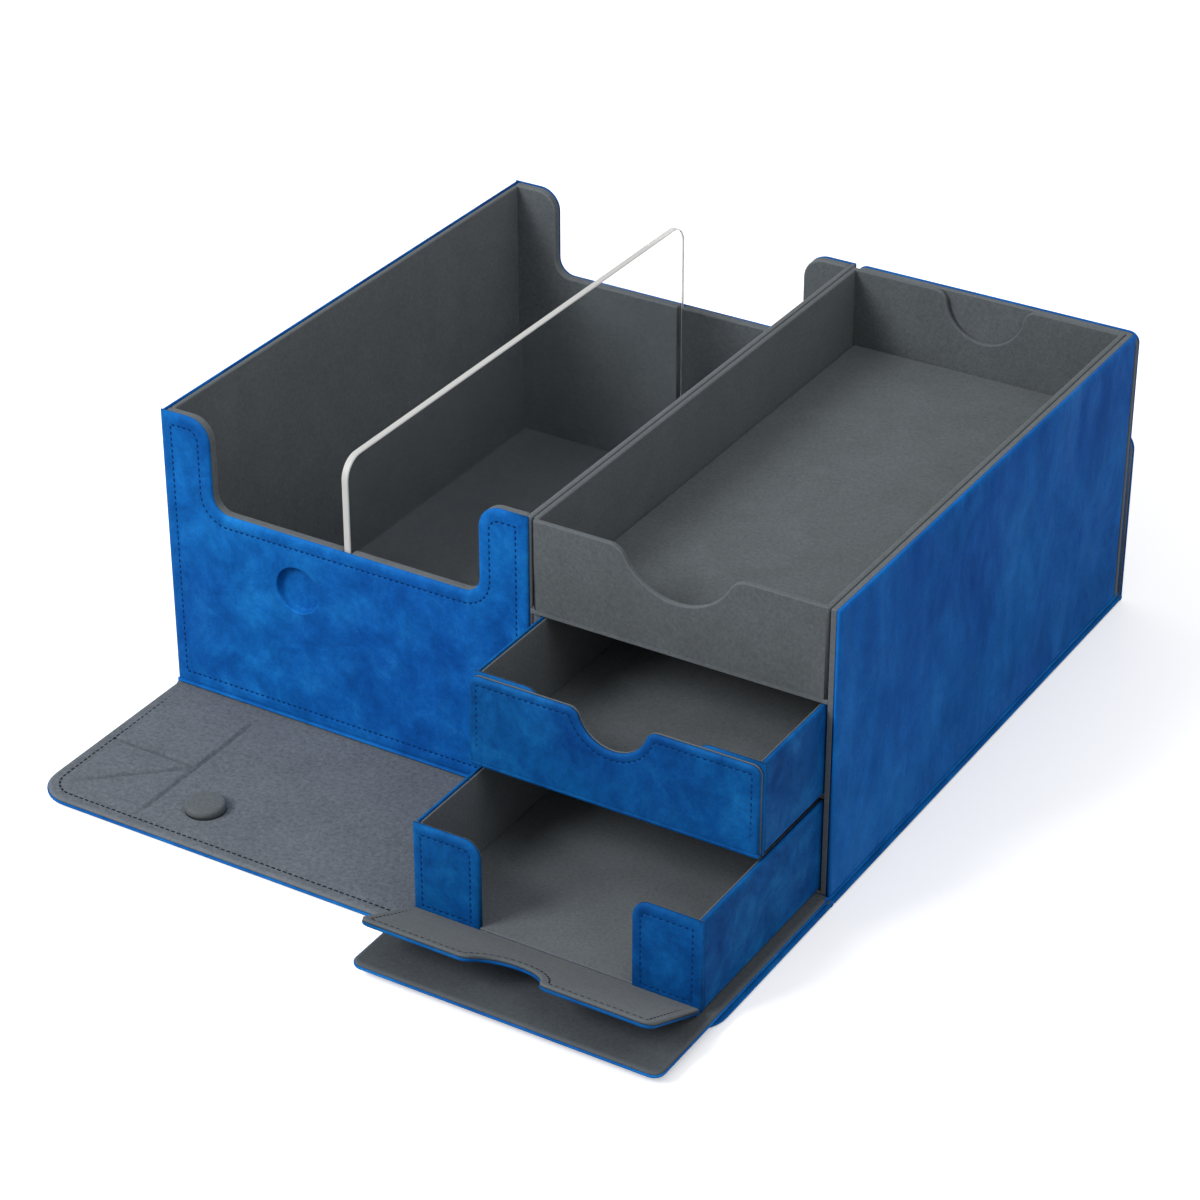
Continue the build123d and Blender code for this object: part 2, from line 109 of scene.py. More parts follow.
def shade(tree, factor, low, high, darkest):
    """A grey multiplier along a factor, from the darkest share up to 1."""
    return ramp(tree, factor, (low, (darkest, darkest, darkest)), (high, WHITE))


def multiply(tree, *colours):
    """Several colours multiplied together."""
    result = colours[0]
    for colour in colours[1:]:
        node = tree.nodes.new("ShaderNodeMix")
        node.data_type = "RGBA"
        node.blend_type = "MULTIPLY"
        node.inputs["Factor"].default_value = 1.0
        tree.links.new(result, node.inputs["A"])
        tree.links.new(colour, node.inputs["B"])
        result = node.outputs["Result"]
    return result


def spread(tree, value, low, high, from_low=0.3, from_high=0.7):
    """A value mapped to a range of its own."""
    node = tree.nodes.new("ShaderNodeMapRange")
    node.inputs["From Min"].default_value = from_low
    node.inputs["From Max"].default_value = from_high
    node.inputs["To Min"].default_value = low
    node.inputs["To Max"].default_value = high
    tree.links.new(value, node.inputs["Value"])
    return node.outputs["Result"]


def on_mesh(tree, name):
    """A value that is kept on the mesh."""
    node = tree.nodes.new("ShaderNodeAttribute")
    node.attribute_type = "GEOMETRY"
    node.attribute_name = name
    return node.outputs["Fac"]


def paled_by_wear_and_highlight(tree, colour, paler, share):
    """A colour that turns paler by the wear and painted highlight that are kept on the mesh."""
    node = tree.nodes.new("ShaderNodeMix")
    node.data_type = "RGBA"
    wear_and_highlight = spread(tree, on_mesh(tree, "wear_and_highlight"), low=0.0, high=share, from_low=0.0, from_high=1.0)
    tree.links.new(wear_and_highlight, node.inputs["Factor"])
    tree.links.new(colour, node.inputs["A"])
    node.inputs["B"].default_value = (*paler, 1)
    return node.outputs["Result"]


def bump(tree, shader, height, strength, distance, under=None):
    """Fine relief on a shader's normal, over an earlier one if there is one."""
    node = tree.nodes.new("ShaderNodeBump")
    node.inputs["Strength"].default_value = strength
    node.inputs["Distance"].default_value = distance
    tree.links.new(height, node.inputs["Height"])
    if under:
        tree.links.new(under, node.inputs["Normal"])
    tree.links.new(node.outputs["Normal"], shader.inputs["Normal"])
    return node.outputs["Normal"]


def leatherette(name, dark, middle, light, paler, patches_per_metre=70, patch_upright_scale=1.0):
    """Brushed synthetic hide: broad cloudy patches and faint upright streaks over a fine pebbled grain."""
    material, tree, shader, place = new_material(name)
    patch_place = stretched(tree, place, (1.0, 1.0, patch_upright_scale))
    patches = noise(tree, patch_place, patches_per_metre, detail=8, roughness=0.66, distortion=0.4)
    broad = noise(tree, place, per_metre=17, detail=2, roughness=0.5, distortion=0.3)
    streak_place = stretched(tree, place, (1.0, 1.0, STREAK_UPRIGHT_SCALE))
    streaks = noise(tree, streak_place, per_metre=150, detail=5, roughness=0.64, distortion=0.6)
    grain = noise(tree, place, per_metre=1100, detail=3, roughness=0.7)
    colour = multiply(
        tree,
        ramp(tree, patches, (0.32, dark), (0.50, middle), (0.70, light)),
        ramp(tree, broad, (0.36, DEEP_PATCH), (0.64, WHITE)),
        shade(tree, streaks, low=0.36, high=0.64, darkest=0.84),
        shade(tree, grain, low=0.32, high=0.68, darkest=0.80),
    )
    tree.links.new(paled_by_wear_and_highlight(tree, colour, paler, share=0.14), shader.inputs["Base Color"])
    tree.links.new(spread(tree, patches, low=0.74, high=0.58), shader.inputs["Roughness"])
    shader.inputs["Specular IOR Level"].default_value = 0.05
    relief = bump(tree, shader, patches, strength=0.14, distance=PATCH_RELIEF)
    bump(tree, shader, grain, strength=0.35, distance=GRAIN_RELIEF, under=relief)
    return material


def facing(mesh, side):
    """The flat faces of a mesh that look straight to one side."""
    return [f for f in mesh.faces if f.normal.dot(side) > STRAIGHT]


def widest(mesh, side):
    """The largest flat face of a mesh towards one side."""
    return max(facing(mesh, side), key=lambda f: f.calc_area())


def cad_copy(node):
    """A copy of a CAD node's mesh with its flat faces made whole, and with room for its wear and painted
    highlight.
    """
    copy = bmesh.new()
    copy.from_mesh(frame["nodes"][node].data)
    copy.verts.layers.float.new("wear_and_highlight")
    bmesh.ops.remove_doubles(copy, verts=copy.verts, dist=SAME_POINT)
    bmesh.ops.dissolve_limit(copy, angle_limit=FLAT_ANGLE, verts=copy.verts, edges=copy.edges)
    copy.normal_update()
    return copy


def turn_over(sheet, outward, thickness):
    """Turn a sheet over to the other side of a board."""
    bmesh.ops.reverse_faces(sheet, faces=sheet.faces)
    bmesh.ops.translate(sheet, verts=sheet.verts, vec=-outward * thickness)


def cad_sheet(node, direction, behind=False):
    """A CAD node's largest flat face towards one side, as a sheet, or the outline of the face behind it."""
    sheet = cad_copy(node)
    reaches = [v.co.dot(direction) for v in sheet.verts]
    face = widest(sheet, -direction if behind else direction)
    bmesh.ops.delete(sheet, geom=[f for f in sheet.faces if f != face], context="FACES")
    if behind:
        turn_over(sheet, -direction, max(reaches) - min(reaches))
    return sheet


def depth_of(node, axis):
    """A CAD node's thickness along one axis."""
    low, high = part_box(node)
    return high[axis] - low[axis]


def grow(sheet, rim):
    """Extrude a rim where it is, and give the new vertices and edges."""
    grown = bmesh.ops.extrude_edge_only(sheet, edges=rim)["geom"]
    verts = [g for g in grown if isinstance(g, bmesh.types.BMVert)]
    edges = [g for g in grown if isinstance(g, bmesh.types.BMEdge)]
    return verts, edges


def close_back(sheet, outward, depth):
    """Draw a sheet's rim straight back and close it behind."""
    verts, edges = grow(sheet, [e for e in sheet.edges if e.is_boundary])
    bmesh.ops.translate(sheet, verts=verts, vec=-outward * depth)
    bmesh.ops.contextual_create(sheet, geom=edges)
    bmesh.ops.recalc_face_normals(sheet, faces=sheet.faces)


def step_in(sheet, face, width, depth=0.0):
    """Inset a face by one step, and give the vertices of the outline that it leaves."""
    made = bmesh.ops.inset_region(
        sheet, faces=[face], thickness=width, depth=depth, use_boundary=True, use_even_offset=True
    )
    return list({v for f in made["faces"] for v in f.verts} - set(face.verts))


def wrap(sheet, outward, thickness, roll):
    """Make a flat sheet a board whose covering rolls over its outer edge, so wide and so deep."""
    width, drop = roll
    wear_and_highlight = sheet.verts.layers.float["wear_and_highlight"]
    bmesh.ops.translate(sheet, verts=sheet.verts, vec=-outward * drop)
    sheet.faces.ensure_lookup_table()
    face = sheet.faces[0]
    turned = 0.0
    for step in range(1, ROLL_STEPS + 1):
        turn = math.pi / 2 * step / ROLL_STEPS
        inset = width * (math.cos(turned) - math.cos(turn))
        rise = drop * (math.sin(turn) - math.sin(turned))
        # The roll is painted paler towards its outer edge: partly wear, partly a painted highlight.
        for vert in step_in(sheet, face, inset, rise):
            vert[wear_and_highlight] = math.cos(turned)
        turned = turn
    for vert in face.verts:
        vert[wear_and_highlight] = 0.0
    close_back(sheet, outward, thickness - drop)


def merge(target, sheet, index=0):
    """Add a finished board to a piece, in one of the piece's materials or in those that its faces have."""
    if "wear_and_highlight" not in target.verts.layers.float:
        target.verts.layers.float.new("wear_and_highlight")
    if index is not None:
        for face in sheet.faces:
            face.material_index = index
    mesh = bpy.data.meshes.new("board")
    sheet.to_mesh(mesh)
    sheet.free()
    target.from_mesh(mesh)
    bpy.data.meshes.remove(mesh)


def piece(name, mesh, body, materials, nodes=()):
    """A finished piece: its object, finishes, body, and the CAD nodes that it stands for."""
    for face in mesh.faces:
        face.smooth = True
    data = bpy.data.meshes.new(name)
    mesh.to_mesh(data)
    mesh.free()
    for material in materials:
        data.materials.append(material)
    made = bpy.data.objects.new(name, data)
    bpy.context.scene.collection.objects.link(made)
    normals = made.modifiers.new("even_normals", "WEIGHTED_NORMAL")
    normals.keep_sharp = True
    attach(made, body)
    if nodes:
        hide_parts(*nodes)


def board_piece(name, board, body, material, node):
    """A piece that is one finished board and stands for one CAD node."""
    whole = bmesh.new()
    merge(whole, board)
    piece(name, whole, body, [material], [node])


blue = leatherette(
    "blue_leatherette",
    dark=(0.0028, 0.086, 0.345),
    middle=(0.0050, 0.132, 0.470),
    light=(0.0112, 0.208, 0.620),
    paler=(0.0160, 0.235, 0.660),
)
base_sheet = cad_sheet("base_panel", DOWN)
wrap(base_sheet, DOWN, depth_of("base_panel", 2), BASE_ROLL)
board_piece("base_panel_wrapped", base_sheet, "case", blue, "base_panel")

# Outer walls of the card bay: stiff boards wrapped in the same leatherette, glued to the base. Front and
# back have wide cut-outs, and a sewn hem follows their outline. The front one has a pressed snap recess.
TOUCH = 0.02 * MM
WALL_ROLL = (2.4 * MM, 1.2 * MM)
SIDE_WALL_ROUND = 1.0 * MM
FRONT_WALL_STEP = 0.9 * MM
HEM_INSET = 4.4 * MM
HEM_HALF_WIDTH = 0.65 * MM
HEM_DEPTH = 0.26 * MM
STITCH_PITCH = 2.25 * MM
STITCH_SIZE = Vector((1.15, 0.68, 0.48)) * MM
STITCH_ROUND = 0.14 * MM
THREAD_SHADE = 0.6
THREAD_RELIEF = 0.08 * MM
RECESS_SIDES = 64
RECESS_LIP = 0.85 * MM
RECESS_DEPTH = 2.6 * MM
RECESS_SKIN = 0.4 * MM
RECESS_FIELD_SHARE = 1.15
RECESS_FLOOR_CLEAR = 0.1 * MM
RECESS_PROFILE_SHARES = (
    (0.6, 0.0), (0.35, 0.02), (0.15, 0.08), (0.0, 0.2),
    (-0.12, 0.45), (-0.26, 0.72), (-0.5, 0.92), (-1.0, 1.0),
)
# The recess lip is painted paler on its lower right only, where light catches it: a painted highlight.
RECESS_HIGHLIGHT_SIDE = Vector((0.75, 0.0, -0.66))
RECESS_HIGHLIGHT_LIP = (-0.3, 0.5)


def thread(name, colour):
    """Waxed sewing thread, with a faint twist."""
    material, tree, shader, place = new_material(name)
    twist = noise(tree, place, per_metre=2600, detail=1, roughness=0.4)
    dark = [THREAD_SHADE * part for part in colour]
    tree.links.new(ramp(tree, twist, (0.35, dark), (0.65, colour)), shader.inputs["Base Color"])
    shader.inputs["Roughness"].default_value = 0.8
    shader.inputs["Specular IOR Level"].default_value = 0.05
    bump(tree, shader, twist, strength=0.5, distance=THREAD_RELIEF)
    return material


def everywhere(point):
    return True


def reach(sheet, direction, amount):
    """Move a sheet's edge out on one side, or in."""
    edge = max(v.co.dot(direction) for v in sheet.verts)
    verts = [v for v in sheet.verts if edge - v.co.dot(direction) < TOUCH]
    bmesh.ops.translate(sheet, verts=verts, vec=direction * amount)


def hem(sheet, outward, inset, kept=everywhere):
    """Sink a sewn groove into a board's flat face, along its outline, and give the line of the groove."""
    sheet.normal_update()
    face = widest(sheet, outward)
    step_in(sheet, face, inset - HEM_HALF_WIDTH)
    rows = [(step_in(sheet, face, HEM_HALF_WIDTH / 2), sunk_share) for sunk_share in (0.0, 0.5)]
    line = [v.co.copy() for v in face.verts]
    rows += [(step_in(sheet, face, HEM_HALF_WIDTH / 2), sunk_share) for sunk_share in (1.0, 0.5)]
    for verts, sunk_share in rows:
        sunk = [v for v in verts if kept(v.co)]
        bmesh.ops.translate(sheet, verts=sunk, vec=-outward * HEM_DEPTH * sunk_share)
    return line


def sew(name, body, colour, line, outward, kept=everywhere, stitch=STITCH_SIZE):
    """Stitches along a closed line, at an even pitch, lying in their groove."""
    seam = bmesh.new()
    lengths = [(b - a).length for a, b in zip(line, line[1:] + line[:1])]
    count = round(sum(lengths) / STITCH_PITCH)
    pitch = sum(lengths) / count
    corner, along = 0, 0.0
    for _ in range(count):
        while along > lengths[corner]:
            along -= lengths[corner]
            corner = (corner + 1) % len(line)
        run = (line[(corner + 1) % len(line)] - line[corner]).normalized()
        middle = line[corner] + run * along
        if kept(middle):
            turn = Matrix((run, outward.cross(run), outward)).transposed().to_4x4()
            place = Matrix.Translation(middle - outward * HEM_DEPTH)
            size = Matrix.Diagonal((*stitch, 1))
            bmesh.ops.create_cube(seam, size=1, matrix=place @ turn @ size)
        along += pitch
    bmesh.ops.bevel(
        seam, geom=seam.edges[:], offset=STITCH_ROUND, affect="EDGES", segments=1, profile=0.5, material=-1
    )
    piece(name, seam, body, [colour])


def with_rims(faces):
    """Faces together with their edges and corners, each once."""
    return list(dict.fromkeys(item for f in faces for item in (f, *f.edges, *f.verts)))


def press_recess(sheet, outward, centre, radius, depth):
    """Press a round recess into a board's flat face, with a soft lip that carries a painted highlight on its
    lower right side.
    """
    half = (radius + RECESS_LIP) * RECESS_FIELD_SHARE
    for axis in (RIGHT, UP):
        for sign in (-1, 1):
            side = centre + axis * sign * half
            flat = with_rims(facing(sheet, outward))
            bmesh.ops.bisect_plane(sheet, geom=flat, plane_co=side, plane_no=axis)
            sheet.normal_update()
    square = min(facing(sheet, outward), key=lambda f: (f.calc_center_median() - centre).length)
    border = square.edges[:]
    bmesh.ops.delete(sheet, geom=[square], context="FACES_ONLY")
    bmesh.ops.subdivide_edges(sheet, edges=border, cuts=RECESS_SIDES // 4 - 1)
    rim = [e for e in sheet.edges if e.is_boundary]
    wear_and_highlight = sheet.verts.layers.float["wear_and_highlight"]
    for lip_share, depth_share in RECESS_PROFILE_SHARES:
        on_highlit_lip = RECESS_HIGHLIGHT_LIP[0] < lip_share < RECESS_HIGHLIGHT_LIP[1]
        verts, rim = grow(sheet, rim)
        for vert in verts:
            spoke = vert.co - centre
            spoke -= outward * spoke.dot(outward)
            spoke.normalize()
            ring_point = spoke * (radius + RECESS_LIP * lip_share)
            vert.co = centre - outward * depth * depth_share + ring_point
            # Only the lower right of the lip is painted paler: a painted highlight.
            vert[wear_and_highlight] = max(0.0, spoke.dot(RECESS_HIGHLIGHT_SIDE)) if on_highlit_lip else 0.0
    bmesh.ops.contextual_create(sheet, geom=rim)
    bmesh.ops.recalc_face_normals(sheet, faces=sheet.faces)


navy = thread("navy_thread", (0.0020, 0.036, 0.150))
front_low, front_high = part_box("front_wall")
front_sheet = cad_sheet("front_wall", FRONT, behind=True)
reach(front_sheet, RIGHT, -FRONT_WALL_STEP)
wrap(front_sheet, FRONT, depth_of("front_wall", 1), WALL_ROLL)
front_line = hem(front_sheet, FRONT, HEM_INSET - WALL_ROLL[0])
recess_floor = [
    v.co for v in frame["nodes"]["front_wall"].data.vertices
    if front_low.y + RECESS_FLOOR_CLEAR < v.co.y < front_high.y - RECESS_FLOOR_CLEAR
]
recess_low = Vector(min(point[axis] for point in recess_floor) for axis in range(3))
recess_high = Vector(max(point[axis] for point in recess_floor) for axis in range(3))
recess_centre = (recess_low + recess_high) / 2
recess_centre.y = front_low.y
recess_radius = (recess_high.x - recess_low.x) / 2
recess_back = recess_centre + BACK * depth_of("front_wall", 1)
boss_height = RECESS_DEPTH - depth_of("front_wall", 1) + RECESS_SKIN
press_recess(front_sheet, FRONT, recess_centre, recess_radius, RECESS_DEPTH)
press_recess(front_sheet, BACK, recess_back, recess_radius + RECESS_SKIN, -boss_height)
board_piece("front_wall_wrapped", front_sheet, "case", blue, "front_wall")
sew("front_wall_stitching", "case", navy, front_line, FRONT)

back_sheet = cad_sheet("back_wall", BACK)
wrap(back_sheet, BACK, depth_of("back_wall", 1), WALL_ROLL)
back_line = hem(back_sheet, BACK, HEM_INSET - WALL_ROLL[0])
board_piece("back_wall_wrapped", back_sheet, "case", blue, "back_wall")
sew("back_wall_stitching", "case", navy, back_line, BACK)

left_sheet = cad_sheet("left_wall", LEFT)
close_back(left_sheet, LEFT, depth_of("left_wall", 0))
left_top = max(v.co.z for v in left_sheet.verts)
top_edges = [
    e for e in left_sheet.edges
    if all(v.co.z > left_top - TOUCH and v.co.x < front_low.x + TOUCH for v in e.verts)
]
bmesh.ops.bevel(
    left_sheet, geom=top_edges, offset=SIDE_WALL_ROUND, affect="EDGES", segments=ROLL_STEPS, profile=0.5,
    material=-1,
)
board_piece("left_wall_wrapped", left_sheet, "case", blue, "left_wall")

# Linings of the card bay: boards covered in grey microfibre, glued inside the walls. The end ones and the
# two floor pads stop short of the middle, which leaves the divider's slot. The partition stands beside them.
SHARP_ANGLE = math.radians(30)
SOFT_STEPS = 3
LINING_SOFT = 0.8 * MM
POCKET_GAP = 0.1 * MM
SPECKLE_HALF = 0.20
# Grey that darkens the lining along its creases: painted shade in the folds.
CREASE_PAINTED_SHADE = (0.76, 0.76, 0.76)
FIBRE_RELIEF = 0.20 * MM


def microfibre(name, dark, light, paler, contrast=1.0, fibres_per_metre=900):
    """Napped microfibre: a fine fibrous speckle with faint brushed patches, and painted shade where the mesh
    marks a crease.
    """
    material, tree, shader, place = new_material(name)
    fibre = noise(tree, place, fibres_per_metre, detail=4, roughness=0.75, distortion=0.4)
    nap = noise(tree, place, per_metre=48, detail=3, roughness=0.55, distortion=0.6)
    half = SPECKLE_HALF / contrast
    colour = multiply(
        tree,
        ramp(tree, fibre, (0.5 - half, dark), (0.5 + half, light)),
        shade(tree, nap, low=0.32, high=0.68, darkest=0.88),
        ramp(tree, on_mesh(tree, "painted_crease_shade"), (0.0, WHITE), (1.0, CREASE_PAINTED_SHADE)),
    )
    tree.links.new(paled_by_wear_and_highlight(tree, colour, paler, share=0.5), shader.inputs["Base Color"])
    shader.inputs["Roughness"].default_value = 0.95
    shader.inputs["Specular IOR Level"].default_value = 0.12
    shader.inputs["Sheen Weight"].default_value = 0.08
    shader.inputs["Sheen Roughness"].default_value = 0.5
    bump(tree, shader, fibre, strength=0.45, distance=FIBRE_RELIEF)
    return material


def soften(sheet, radius, kept=everywhere, steps=SOFT_STEPS):
    """Round the sharp edges of a board, as its covering does, and paint the rounds paler, as wear and painted
    highlight.
    """
    wear_and_highlight = sheet.verts.layers.float["wear_and_highlight"]
    sharp = [e for e in sheet.edges if len(e.link_faces) == 2 and e.calc_face_angle() > SHARP_ANGLE]
    edges = [e for e in sharp if kept((e.verts[0].co + e.verts[1].co) / 2)]
    made = bmesh.ops.bevel(
        sheet, geom=edges, offset=radius, affect="EDGES", segments=steps, profile=0.5, material=-1,
        clamp_overlap=True,
    )
    # The rounded edges are painted paler: partly wear, partly a painted highlight.
    rounds = set(made["faces"])
    for vert in made["verts"]:
        if rounds.issuperset(vert.link_faces):
            vert[wear_and_highlight] = 1.0


def shrink(sheet, inset):
    """Draw a sheet's outline in on all sides."""
    rim = bmesh.ops.inset_region(
        sheet, faces=sheet.faces[:], use_boundary=True, use_even_offset=True, thickness=inset
    )
    bmesh.ops.delete(sheet, geom=rim["faces"], context="FACES")


def covered_board(node, outward, axis, soft):
    """A board with the size of its CAD node, its edges softened by the covering."""
    sheet = cad_sheet(node, outward)
    close_back(sheet, outward, depth_of(node, axis))
    soften(sheet, soft)
    return sheet


lining_grey = microfibre(
    "lining_microfibre",
    dark=(0.082, 0.093, 0.102),
    light=(0.124, 0.140, 0.152),
    paler=(0.140, 0.153, 0.162),
)
for node, direction, axis in (
    ("left_lining", RIGHT, 0),
    ("front_lining_left", BACK, 1),
    ("front_lining_right", BACK, 1),
    ("back_lining_left", FRONT, 1),
    ("back_lining_right", FRONT, 1),
    ("floor_pad_left", UP, 2),
    ("floor_pad_right", UP, 2),
    ("partition_wall", LEFT, 0),
):
    lining = covered_board(node, direction, axis, LINING_SOFT)
    if node == "front_lining_left":
        pocket_radius = recess_radius + 2 * RECESS_SKIN
        press_recess(lining, FRONT, recess_back, pocket_radius, boss_height + POCKET_GAP)
    board_piece(f"{node}_covered", lining, "case", lining_grey, node)

# Closure magnet: a nickel-plated disc sunk into the front lining, behind the floor of the snap recess. It
# pulls the lid's button into the recess.
MAGNET_SOFT = 0.2 * MM
NICKEL = (0.60, 0.59, 0.57)


def plated_steel(name):
    """Nickel plating with faint turning marks."""
    material, tree, shader, place = new_material(name)
    marks = noise(tree, place, per_metre=900, detail=2, roughness=0.5)
    shader.inputs["Base Color"].default_value = (*NICKEL, 1)
    shader.inputs["Metallic"].default_value = 1.0
    tree.links.new(spread(tree, marks, low=0.25, high=0.4), shader.inputs["Roughness"])
    return material


steel = plated_steel("nickel_plating")


def magnets(name, node, body, shift):
    """Magnet discs in their CAD place, or a little deeper under their covering, with softened rims."""
    discs = cad_copy(node)
    bmesh.ops.translate(discs, verts=discs.verts, vec=shift)
    soften(discs, MAGNET_SOFT)
    piece(name, discs, body, [steel], [node])


magnets("closure_magnet_disc", "closure_magnet", "case", BACK * (boss_height + 2 * POCKET_GAP))

# Divider: one clear acrylic sheet with polished faces and softly sanded edges. It drops into the slot
# between the linings and lifts straight out.
DIVIDER_SOFT = 0.45 * MM
ACRYLIC_IOR = 1.49
HAZE_SPREAD = 1.6


def acrylic(name, colour, roughness, transmission):
    """Clear cast sheet, its sanded edges rougher and whiter than its faces."""
    material, tree, shader, place = new_material(name)
    haze = noise(tree, place, per_metre=160, detail=2, roughness=0.5)
    shader.inputs["Base Color"].default_value = (*colour, 1)
    hazed = spread(tree, haze, low=roughness, high=roughness * HAZE_SPREAD)
    tree.links.new(hazed, shader.inputs["Roughness"])
    shader.inputs["IOR"].default_value = ACRYLIC_IOR
    shader.inputs["Transmission Weight"].default_value = transmission
    return material


clear = acrylic("clear_acrylic", (0.97, 0.98, 0.985), roughness=0.02, transmission=1.0)
sanded = acrylic("sanded_acrylic", (0.93, 0.93, 0.91), roughness=0.35, transmission=0.50)
divider = bmesh.new()
merge(divider, covered_board("card_divider", RIGHT, 0, DIVIDER_SOFT))
for face in divider.faces:
    face.material_index = 0 if abs(face.normal.x) > STRAIGHT else 1
piece("divider_sheet", divider, "card_divider", [clear, sanded], ["card_divider"])

# Drawer module's right side and back: thin leatherette-wrapped boards outside, grey covered boards inside.
# Both colours show as narrow strips at the open front, along the top and at the back corner.
MODULE_ROLL = (1.7 * MM, 1.0 * MM)
MODULE_SOFT = 0.35 * MM
panel_blue = leatherette(
    "panel_leatherette",
    dark=(0.0030, 0.090, 0.355),
    middle=(0.0048, 0.128, 0.460),
    light=(0.0085, 0.178, 0.560),
    paler=(0.0160, 0.235, 0.660),
    patches_per_metre=42,
    patch_upright_scale=0.5,
)
for node, direction, axis in (("right_panel", RIGHT, 0), ("back_panel", BACK, 1)):
    panel = cad_sheet(node, direction)
    wrap(panel, direction, depth_of(node, axis), MODULE_ROLL)
    board_piece(f"{node}_covered", panel, "case", panel_blue, node)
for node, direction, axis in (("right_lining", LEFT, 0), ("back_panel_lining", FRONT, 1)):
    panel = covered_board(node, direction, axis, MODULE_SOFT)
    board_piece(f"{node}_covered", panel, "case", lining_grey, node)

# Inside of the module: the bay's side wall, its floor and the two shelves, thin boards covered in the same
# grey microfibre and glued between the case's walls. The drawers run on the floor and on the lower shelf.
SHELF_SOFT = 0.25 * MM
TRAY_SHELF_LIP = 1.8 * MM
for node, direction, axis in (
    ("bay_wall", RIGHT, 0),
    ("bay_floor", UP, 2),
    ("drawer_shelf", UP, 2),
    ("tray_shelf", UP, 2),
):
    shelf = cad_sheet(node, direction)
    if node == "tray_shelf":
        reach(shelf, FRONT, TRAY_SHELF_LIP)
    close_back(shelf, direction, depth_of(node, axis))
    soften(shelf, SHELF_SOFT)
    board_piece(f"{node}_covered", shelf, "case", lining_grey, node)

# Lift-out tray: five boards covered in a slightly darker microfibre and glued into an open box, with a thumb
# notch in the front and back walls. The walls go round the floor, which has a pad on it with a gap all
# round. The tray stands loose on the upper shelf.
TRAY_SOFT = 0.6 * MM
TRAY_CORNER = 1.25 * MM
TRAY_FRONT_STEP = 0.6 * MM
TRAY_PAD_GAP = 1.2 * MM
TRAY_PAD_STEP = 1.2 * MM
TRAY_PAD_SUNK = 0.2 * MM
TRAY_PAD_SOFT = 0.36 * MM
dark_grey = microfibre(
    "dark_microfibre",
    dark=(0.072, 0.083, 0.089),
    light=(0.112, 0.127, 0.136),
    paler=(0.108, 0.124, 0.136),
)
tray_low, tray_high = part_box("tray_floor")
tray_wall = depth_of("tray_left_wall", 0)
tray_floor_depth = depth_of("tray_floor", 2)


def above_shelf(point):
    return point.z > tray_low.z + TOUCH


def front_corner(point):
    at_side = min(point.x - tray_low.x - TRAY_FRONT_STEP, tray_high.x - point.x) < TOUCH
    return at_side and point.y < tray_low.y + TOUCH


for node, direction, axis in (
    ("tray_left_wall", RIGHT, 0),
    ("tray_right_wall", LEFT, 0),
    ("tray_front_wall", BACK, 1),
    ("tray_back_wall", FRONT, 1),
):
    side = cad_sheet(node, direction)
    reach(side, DOWN, tray_floor_depth)
    if node == "tray_front_wall":
        reach(side, LEFT, -TRAY_FRONT_STEP)
    close_back(side, direction, depth_of(node, axis))
    if node == "tray_front_wall":
        soften(side, TRAY_CORNER, front_corner, ROLL_STEPS)
    soften(side, TRAY_SOFT, above_shelf)
    board_piece(f"{node}_covered", side, "accessory_tray", dark_grey, node)
tray_floor = bmesh.new()
tray_board = cad_sheet("tray_floor", UP)
shrink(tray_board, tray_wall)
bmesh.ops.translate(tray_board, verts=tray_board.verts, vec=DOWN * TRAY_PAD_STEP)
close_back(tray_board, UP, tray_floor_depth - TRAY_PAD_STEP)
merge(tray_floor, tray_board)
tray_pad = cad_sheet("tray_floor", UP)
shrink(tray_pad, tray_wall + TRAY_PAD_GAP)
close_back(tray_pad, UP, TRAY_PAD_STEP + TRAY_PAD_SUNK)
soften(tray_pad, TRAY_PAD_SOFT)
merge(tray_floor, tray_pad)
piece("tray_floor_covered", tray_floor, "accessory_tray", [dark_grey], ["tray_floor"])

# Drawers: thin boards with leatherette outside and grey microfibre inside, glued into an open box whose
# sides go round its floor. Each front is two short posts with a gap between them, hemmed, sewn and holding
# a magnet.
DRAWER_ROLL = (1.3 * MM, 0.9 * MM)
POST_ROLL = (1.9 * MM, 1.2 * MM)
POST_HEM = 3.3 * MM
POST_MAGNET_SINK = 0.6 * MM
DRAWER_LINING = 0.7 * MM
LINING_STEP = 0.3 * MM
LINING_EDGE = 0.25 * MM
FLOOR_FRONT_STEP = 0.6 * MM
FLOOR_FRONT_FACING = 0.5


def lining_sheet(sheet, outward, skin, thickness, step):
    """Make a sheet with the skin's outline the thin lining behind it, a step smaller all round."""
    bmesh.ops.translate(sheet, verts=sheet.verts, vec=-outward * skin)
    shrink(sheet, step)
    close_back(sheet, outward, thickness)
    soften(sheet, LINING_EDGE)
